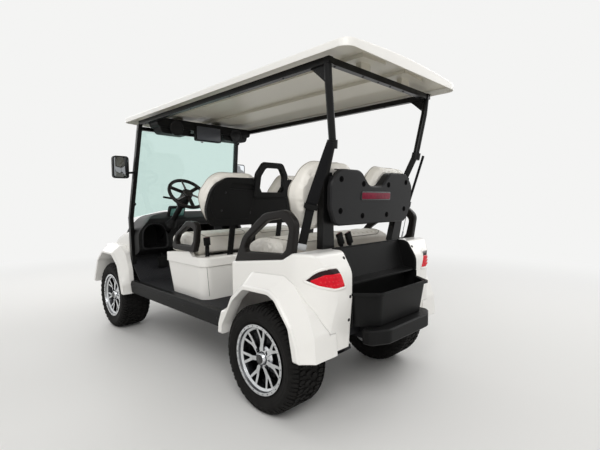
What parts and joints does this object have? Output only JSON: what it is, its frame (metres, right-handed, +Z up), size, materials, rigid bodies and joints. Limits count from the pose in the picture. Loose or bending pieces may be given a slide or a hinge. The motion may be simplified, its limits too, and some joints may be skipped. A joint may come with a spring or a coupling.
{
  "type": "golf cart",
  "caption": "Canopied golf cart with a forward-facing rear bench, open bag well and basket, split-spoke alloy wheels and a hinged front seat cushion.",
  "frame": {"origin": "bottom centre of the whole cart's box, on the ground", "axes": "+Z up, the cart faces -Y, +X is its left side, where the steering wheel is"},
  "size_m": [1.368, 3.116, 1.888],
  "materials": {
    "body_white": "glossy warm white moulded body",
    "black_steel": "satin black powder coat",
    "frame_steel": "semi-gloss black chassis paint",
    "cast_steel": "dark cast and machined steel",
    "black_plastic": "fine textured black plastic",
    "floor_mat": "ribbed rubber mat",
    "panel_plastic": "charcoal moulded back panel",
    "vinyl": "cream vinyl with grey piping",
    "webbing": "black woven webbing",
    "glass": "clear, green tinted",
    "lamp_clear": "clear lens over a bright bowl",
    "lamp_red": "glossy red lens",
    "battery_case": "dark moulded case",
    "alloy": "machined silver alloy",
    "tyre": "black rubber with block tread"
  },
  "bodies": {
    "chassis": {"front_cowl": "body_white", "fenders": "body_white", "seat_pod": "body_white", "rear_body": "body_white", "roof": "body_white", "roof_frame": "black_steel", "screen_frame": "black_steel", "rear_struts": "black_steel", "frame_rails": "frame_steel", "crossmembers": "frame_steel", "body_supports": "frame_steel", "towing_eye": "frame_steel", "front_suspension": "frame_steel", "springs": "frame_steel", "rear_axle": "cast_steel", "rocker_panels": "black_plastic", "dashboard": "black_plastic", "bumpers": "black_plastic", "bag_well": "black_plastic", "basket": "black_plastic", "armrests": "black_plastic", "steering_column": "black_plastic", "mirrors": "black_plastic", "overhead_console": "black_plastic", "pedals": "black_plastic", "floor_pan": "floor_mat", "front_back_panel": "panel_plastic", "rear_back_panel": "panel_plastic", "backrests": "vinyl", "rear_seat_cushion": "vinyl", "seat_belts": "webbing", "windscreen": "glass", "headlamps": "lamp_clear", "tail_lamps": "lamp_red", "battery_pack": "battery_case"},
    "front_seat_lid": {"front_seat_cushion": "vinyl"},
    "steering": {"steering_wheel": "black_plastic"},
    "knuckle_left": {"knuckle_left": "cast_steel"},
    "knuckle_right": {"knuckle_right": "cast_steel"},
    "wheel_front_left": {"rim_front_left": "alloy", "tyre_front_left": "tyre"},
    "wheel_front_right": {"rim_front_right": "alloy", "tyre_front_right": "tyre"},
    "wheel_rear_left": {"rim_rear_left": "alloy", "tyre_rear_left": "tyre"},
    "wheel_rear_right": {"rim_rear_right": "alloy", "tyre_rear_right": "tyre"}
  },
  "joints": [
    {"name": "steer_left", "type": "hinge", "parent": "chassis", "child": "knuckle_left", "pos_m": [0.48, -1.106, 0.292], "axis": [0, 0, 1], "range_deg": [-28, 28]},
    {"name": "steer_right", "type": "hinge", "parent": "chassis", "child": "knuckle_right", "pos_m": [-0.48, -1.106, 0.292], "axis": [0, 0, 1], "range_deg": [-29, 29]},
    {"name": "steering_wheel_turn", "type": "hinge", "parent": "chassis", "child": "steering", "pos_m": [0.27, -0.347, 1.206], "axis": [0, 0.7431, 0.6691], "range_deg": [-310, 310]},
    {"name": "front_left_spin", "type": "hinge", "parent": "knuckle_left", "child": "wheel_front_left", "pos_m": [0.513, -1.106, 0.292], "axis": [1, 0, 0], "continuous": true},
    {"name": "front_right_spin", "type": "hinge", "parent": "knuckle_right", "child": "wheel_front_right", "pos_m": [-0.513, -1.106, 0.292], "axis": [1, 0, 0], "continuous": true},
    {"name": "rear_left_spin", "type": "hinge", "parent": "chassis", "child": "wheel_rear_left", "pos_m": [0.513, 1.006, 0.292], "axis": [1, 0, 0], "continuous": true},
    {"name": "rear_right_spin", "type": "hinge", "parent": "chassis", "child": "wheel_rear_right", "pos_m": [-0.513, 1.006, 0.292], "axis": [1, 0, 0], "continuous": true},
    {"name": "front_seat_hinge", "type": "hinge", "parent": "chassis", "child": "front_seat_lid", "pos_m": [0, -0.187, 0.7663], "axis": [1, 0, 0], "range_deg": [0, 50]}
  ],
  "couplings": [
    {"joint": "steer_right", "follows": "steer_left", "ratio": 1},
    {"joint": "steering_wheel_turn", "follows": "steer_left", "ratio": 11}
  ]
}
